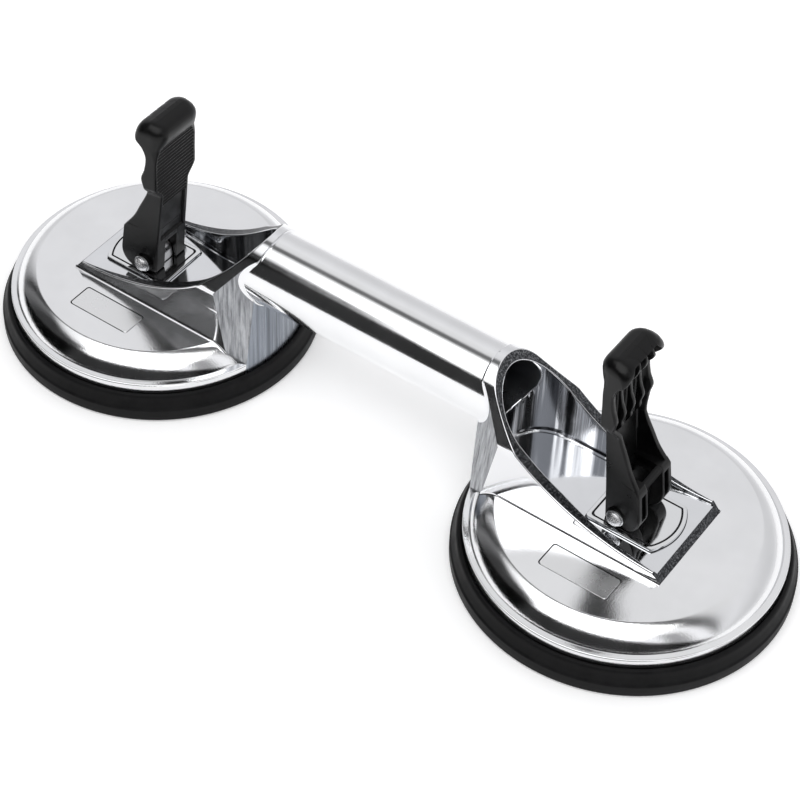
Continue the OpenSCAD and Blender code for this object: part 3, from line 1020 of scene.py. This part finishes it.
def levels(low, high, step):
    """Heights from low to high, about step apart."""
    return spaced(low, high, max(int(round((high - low) / step)), 1))


def channel_floor(z):
    """x of the floor of the hollow between the cheeks, which is open outwards."""
    deep = lever_back(z) + WEB_T + 0.6
    return deep + (lever_front(z) - deep) * ease(z, 95.6, 97.0)


def rib_front(z):
    """Front edge of the finger ribs, which grow out of the hollow's floor."""
    floor = channel_floor(z)
    return floor + (lever_front(z) - 0.1 - floor) * ease(z, GRIP_Z, 69.5)


def back_relief(z):
    """How far the middle of the back lies in from its rails: a panel, then fine cross ribs."""
    panel = PANEL_DEPTH * ease(z, PIT_Z, PIT_Z + 0.6) * ease(PANEL_END - z, 0, 0.5)
    ribs = 0.55 * ease(z, PANEL_END, PANEL_END + 0.6) * ease(FINE_END - z, 0, 0.6)
    return panel + ribs * (0.5 + 0.5 * math.cos(2 * math.pi * (z - 60.6) / FINE_PITCH))


def corner(cx, cy, r, start):
    return arc((cx, cy), r, start, start + 90, 5)


def lever_section(z):
    """Outline of the lever's upper part at height z: cheeks, three ribs, back with its rails."""
    x0, x1 = lever_back(z), lever_front(z)
    floor, rib = min(channel_floor(z), x1), min(rib_front(z), x1)
    back_w = lever_width(x0, z)
    depth = x1 - x0
    front_r = min(0.8 + 3.2 * ease(z, 91.0, 96.5), depth * 0.45)
    back_r = min(0.8 + 3.8 * ease(z, 83, 94), depth * 0.5)
    # the side is one slanted line between the ends of both corners
    front_w, side_b = lever_width(x1 - front_r, z), lever_width(x0 + back_r, z)
    h, e = RIB_T / 2, max(min(0.4, (rib - floor) * 0.45), 0)
    flank = [(rib, h - 0.45), (rib - e * 0.3, h - 0.12), (rib - e, h), (floor + e, h), (floor, h + e)]
    half = [(rib, 0.0)] + flank
    half += [(x, RIB_PITCH - y) for x, y in reversed(flank)] + [(x, RIB_PITCH + y) for x, y in flank]
    e = max(min(0.4, (x1 - floor) * 0.45), 0)
    inner_f = max(lever_width(x1, z) - CHEEK_T, RIB_PITCH + h + e + 0.1)
    inner_b = max(lever_width(floor, z) - CHEEK_T, RIB_PITCH + h + e + 0.1)
    half += [(floor, inner_b - e), (floor + e, inner_b), (x1 - e, inner_f), (x1 - e * 0.3, inner_f + 0.12),
             (x1, inner_f + 0.4)]
    squeeze = min(1, (front_w - front_r - 0.05) / (inner_f + 0.4))
    half = [(x, y * squeeze) for x, y in half]
    half += corner(x1 - front_r, front_w - front_r, front_r, 0)
    half += corner(x0 + back_r, side_b - back_r, back_r, 90)
    relief = back_relief(z)
    rail = min(back_w - (1.5 if z > 60 else 1.9), back_w - back_r - 0.3)
    half += [(x0, rail + 0.25), (x0 + relief, rail - 0.05), (x0 + relief, rail / 2), (x0 + relief, 0.0)]
    other = [(x, -y) for x, y in reversed(half[1:-1])]
    return [(x, y, z) for x, y in half + other]


def base_section(z, inset):
    """Outline of one half of the lever's base at height z, with the narrow pocket in its face."""
    x0, x1 = lever_back(z) + inset, lever_front(z) - inset
    front_w, back_w = lever_width(x1, z) - inset, lever_width(x0, z) - inset
    r = 0.7
    depth = 3.4 * ease(z, BASE_FLOOR_Z, BASE_FLOOR_Z + 0.4) * ease(FACE_TOP - 1.2 - z, 0, 0.4)
    floor, e = x1 - depth, min(0.25, depth * 0.45)
    near, far = FRONT_SLOT + 1.1, front_w - CHEEK_T
    step = min(SLOT_STEP_X, x1 - 0.6)
    wide = LEVER_SLOT + (FRONT_SLOT - LEVER_SLOT) * ease(x1, SLOT_STEP_X, SLOT_STEP_X + 0.7)
    narrow = LEVER_SLOT if z < PIT_Z else FRONT_SLOT
    line = [(step, narrow + inset), (step + 0.02, wide + inset), (x1 - 0.3, wide + inset),
            (x1, wide + inset + 0.3), (x1, near - 0.25), (x1 - e, near), (floor + e, near),
            (floor, near + e), (floor, far - e), (floor + e, far), (x1 - e, far), (x1, far + 0.25)]
    line += corner(x1 - r, front_w - r, r, 0)
    line += corner(x0 + r, back_w - r, r, 90)
    rail, sunk = back_w - 1.9, PANEL_DEPTH * ease(z, *PANEL_START)
    line += [(x0, rail + 0.25), (x0 + sunk, rail - 0.05), (x0 + sunk, narrow + inset + 0.3),
             (x0 + sunk + 0.3, narrow + inset)]
    return [(x, y, z) for x, y in line]


def loft(shell, rows):
    """Closed skin through a pile of outlines with flat ends, facing outwards."""
    shell.sleeve(rows)
    for row, up in ((rows[0], -1), (rows[-1], 1)):
        shell.plate([row], lambda p, up=up: (0, 0, up), 0)


def lever_heights():
    """Heights of the sections, less than 1 mm apart and closer where the shape turns.
    The base's come as (height, inset)."""
    base_z = PIN_Z - CAM_LOW
    lower = [(base_z, 0.35), (base_z + 0.12, 0.15), (base_z + 0.4, 0.0)]
    plain = levels(base_z + 0.9, 32.2, 0.5) + levels(BASE_FLOOR_Z, 33.0, 0.1) + levels(33.6, 43.2, 0.8)
    plain += levels(43.4, 43.8, 0.1) + [43.95, PIT_Z, FACE_TOP, 45.9, CROSS_TOP]
    lower += [(z, 0.0) for z in plain]
    upper = [CROSS_TOP] + levels(47.4, 60, 0.7) + levels(PANEL_END, 89.8, FINE_PITCH / 6)
    upper += levels(90.2, 94.4, 0.5) + levels(94.8, 95.2, 0.4) + levels(95.6, 97.0, 0.2)
    upper += levels(97.3, 97.9, 0.3) + [HEAD_Z - d for d in (0.9, 0.62, 0.4, 0.22, 0.09, 0.02)]
    return lower, upper


def lever_bridges(s):
    """What joins the two cheeks of the base: the slot's back above the pin, and a thin bar over the face."""
    def half_slot(_, z):
        return (LEVER_SLOT if z < PIT_Z - 0.5 else FRONT_SLOT) + 0.3

    slab(s, [PIN_Z + 9, 40, 40.8, 41.6, 42.4, 43.2, 43.9, 44.1, 45, 46, CROSS_TOP + 0.1],
         lambda z: lever_back(z) + 0.05 + 0.75 * ease(z, *PANEL_START),
         lambda z: -2.6 - 1.35 * ease(z, 44.4, 46.4), lambda x, z: -half_slot(x, z), half_slot, 0.3)
    slab(s, levels(FACE_TOP, CROSS_TOP, 0.45),
         lambda z: lever_front(z) - 1.3, lambda z: lever_front(z) - 0.02,
         lambda x, z: -FRONT_SLOT - 0.3, lambda x, z: FRONT_SLOT + 0.3, 0.3)


def lever(name, side):
    s = Shell()
    lower, upper = lever_heights()
    loft(s, [lever_section(z) for z in upper])
    for flip in (1, -1):
        rows = flipped([base_section(z, inset) for z, inset in lower], flip)
        loft(s, rows if flip > 0 else [list(reversed(row)) for row in rows])
    lever_bridges(s)
    # flats round the pin
    rim = circle(3.7, 48)
    for flip in (1, -1):
        rows = [[(x * r, flip * y, PIN_Z + z * r) for x, z in rim]
                for r, y in ((1, 7.5), (1, 9.8), (0.94, CHEEK_Y))]
        s.patch(rows, lambda p: (p[0], 0, p[2] - PIN_Z), 0, closed=True)
        s.plate([rows[-1]], lambda p, flip=flip: (0, flip, 0), 0)
    obj = s.build(f"{name}_lever_body", side, ["lever"], weld=0.0001, sharp=42)
    attach(obj, f"{name}_lever", f"{name}_lever")


# -------- pin, washers and cap
def lying(shell, profile, flip):
    """A profile of (radius, distance) points turned about the pin's axis, on one side of the lever."""
    turned(shell, profile, lambda a, b, d: (a, flip * d, PIN_Z + b), 48)


def pin_piece(name, side, piece, node, mat, turns):
    """One piece on the pin's axis, made of (profile, side of the lever) turns."""
    s = Shell()
    for profile, flip in turns:
        lying(s, profile, flip)
    obj = s.build(f"{name}_{piece}", side, [mat])
    attach(obj, f"{name}_lever", f"{name}_{node}")


def pin_pieces(name, side):
    shaft = [(AXIS_R, -12.1), (PIN_R - 0.2, -12.1), (PIN_R, -11.9), (PIN_R, 10.5)]
    dome = [(PIN_R, WASHER_Y), (2.8, WASHER_Y), (2.9, 10.7), (2.9, 11.1)]
    dome += [(r, WASHER_Y + d) for r, d in chord_arc((2.88, 0.55), (AXIS_R, 1.9), 3.2, 8)]
    ring = [(PIN_R + 0.05, CHEEK_Y), (3.1, CHEEK_Y), (3.3, 10.12), (3.3, 10.5), (3.15, WASHER_Y),
            (PIN_R + 0.05, WASHER_Y)]
    cap = [(PIN_R + 0.03, WASHER_Y), (2.8, WASHER_Y), (2.9, 10.7), (2.9, 11.7), (2.6, 12.2), (2.0, 12.45),
           (AXIS_R, 12.5)]
    pin_piece(name, side, "pin_body", "pivot_pin", "pin", [(shaft, -1), (dome, -1)])
    pin_piece(name, side, "pin_washer_pair", "pin_washers", "zinc", [(ring, -1), (ring, 1)])
    pin_piece(name, side, "pin_cap_body", "pin_cap", "zinc", [(cap, 1)])


# -------- camera and light
def place_camera():
    """Camera fitted to the two discs, the tube and the levers."""
    azimuth, elevation, roll = math.radians(33.82), math.radians(46.35), math.radians(2.44)
    distance, target = 813.42, Vector((7.41, 0, 18.26))
    level = math.cos(elevation)
    back = Vector((math.sin(azimuth) * level, -math.cos(azimuth) * level, math.sin(elevation)))
    right = Vector((math.cos(azimuth), math.sin(azimuth), 0))
    up = back.cross(right)
    x = right * math.cos(roll) + up * math.sin(roll)
    y = up * math.cos(roll) - right * math.sin(roll)
    cam = bpy.data.cameras.new("camera")
    cam.lens = 102.8322
    cam.sensor_width = 36
    cam.clip_start, cam.clip_end = 0.01, 20
    obj = add_object("camera", cam)
    turn = Matrix((x, y, back)).transposed().to_4x4()
    obj.matrix_world = Matrix.Translation((target + back * distance) * MM) @ turn
    bpy.context.scene.camera = obj


def area_light(name, place, width, height, power):
    """Soft light that looks at the row's middle."""
    data = bpy.data.lights.new(name, "AREA")
    data.shape = "RECTANGLE"
    data.size, data.size_y = width, height
    data.energy = power
    obj = add_object(name, data)
    obj.location = place
    obj.rotation_euler = Vector(place).to_track_quat("Z", "Y").to_euler()


def studio():
    """Pale floor, a soft light, and a pale surround with darker bands for the metal to mirror."""
    scene = bpy.context.scene
    scene.view_settings.view_transform = "Standard"
    scene.view_settings.look = "None"
    m, _, s = new_material("studio_floor", (0.95, 0.95, 0.95), 0.9)
    s.inputs["Emission Color"].default_value = (1, 1, 1, 1)
    s.inputs["Emission Strength"].default_value = 0.30
    s.inputs["Specular IOR Level"].default_value = 0.1
    mesh = bpy.data.meshes.new("floor")
    h, drop = 4.0, -0.00005
    mesh.from_pydata([(-h, -h, drop), (h, -h, drop), (h, h, drop), (-h, h, drop)], [], [(0, 1, 2, 3)])
    mesh.materials.append(m)
    add_object("floor", mesh)
    area_light("key", (0.15, -0.85, 1.9), 2.4, 1.8, 16)
    surround(scene)


def grey_ramp(tree, value, stops):
    return ramp(tree, value, [(where, (level, level, level * 1.01)) for where, level in stops])


def round_ramp(tree, a, b, stops):
    """Grey levels by the angle whose tangent is a over b, from (degrees, level) stops."""
    turn = spread(tree, math_node(tree, "ARCTAN2", a, b), 0, 1, -math.pi, math.pi)
    return grey_ramp(tree, turn, [((degrees + 180) / 360, level) for degrees, level in stops])


def surround(scene):
    """Room for the metal to mirror: grey-white behind, a bright panel overhead in front, dark below it."""
    world = bpy.data.worlds.new("studio")
    scene.world = world
    world.use_nodes = True
    tree = world.node_tree
    coord = new_node(tree, "TexCoord")
    split = new_node(tree, "SeparateXYZ", Vector=coord.outputs["Generated"])
    right, up = split.outputs["X"], split.outputs["Z"]
    front = math_node(tree, "MULTIPLY", split.outputs["Y"], -1)
    # angle from straight up towards the front
    over = round_ramp(tree, front, up, [
        (-180, 0.80), (-90, 0.80), (-75, 0.66), (-60, 0.66), (-35, 0.80), (-18, 0.72), (-12, 0.14),
        (-4, 0.14), (2, 1.0), (43, 1.0), (48, 0.03), (93, 0.03), (99, 0.8), (180, 0.8)])
    # bearing from the front towards the right: the panel ends at the left
    round_about = round_ramp(tree, right, front, [
        (-180, 1), (-110, 1), (-95, 0.25), (-75, 0.04), (-34, 0.04), (-31, 1), (60, 1), (64, 0.35),
        (75, 0.35), (80, 1), (180, 1)])
    # the bearing counts only for low and middling heights above the floor
    height = grey_ramp(tree, up, [(0.0, 0), (0.03, 1), (0.72, 1), (0.80, 0), (1.0, 0)])
    mix = tree.nodes.new("ShaderNodeMix")
    mix.data_type = "RGBA"
    mix.blend_type = "MULTIPLY"
    tree.links.new(height, mix.inputs["Factor"])
    tree.links.new(over, mix.inputs["A"])
    tree.links.new(round_about, mix.inputs["B"])
    back = tree.nodes["Background"]
    back.inputs["Strength"].default_value = 1.08
    tree.links.new(mix.outputs["Result"], back.inputs["Color"])


def dress_cad(name):
    """Materials for the CAD nodes that are shown as they are."""
    chosen = {"pad_plate": "steel", "pull_stem": "steel", "stem_washer": "zinc", "stem_nut": "zinc"}
    for node, mat in chosen.items():
        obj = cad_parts[f"{name}_{node}"]
        obj.data.materials.clear()
        obj.data.materials.append(MATS[mat])


handle_tube()
for cup, cup_side in SIDES.items():
    casting(cup, cup_side)
    seat_plate(cup, cup_side)
    label_plate(cup, cup_side)
    rubber_pad(cup, cup_side)
    lever(cup, cup_side)
    pin_pieces(cup, cup_side)
    dress_cad(cup)
place_camera()
studio()
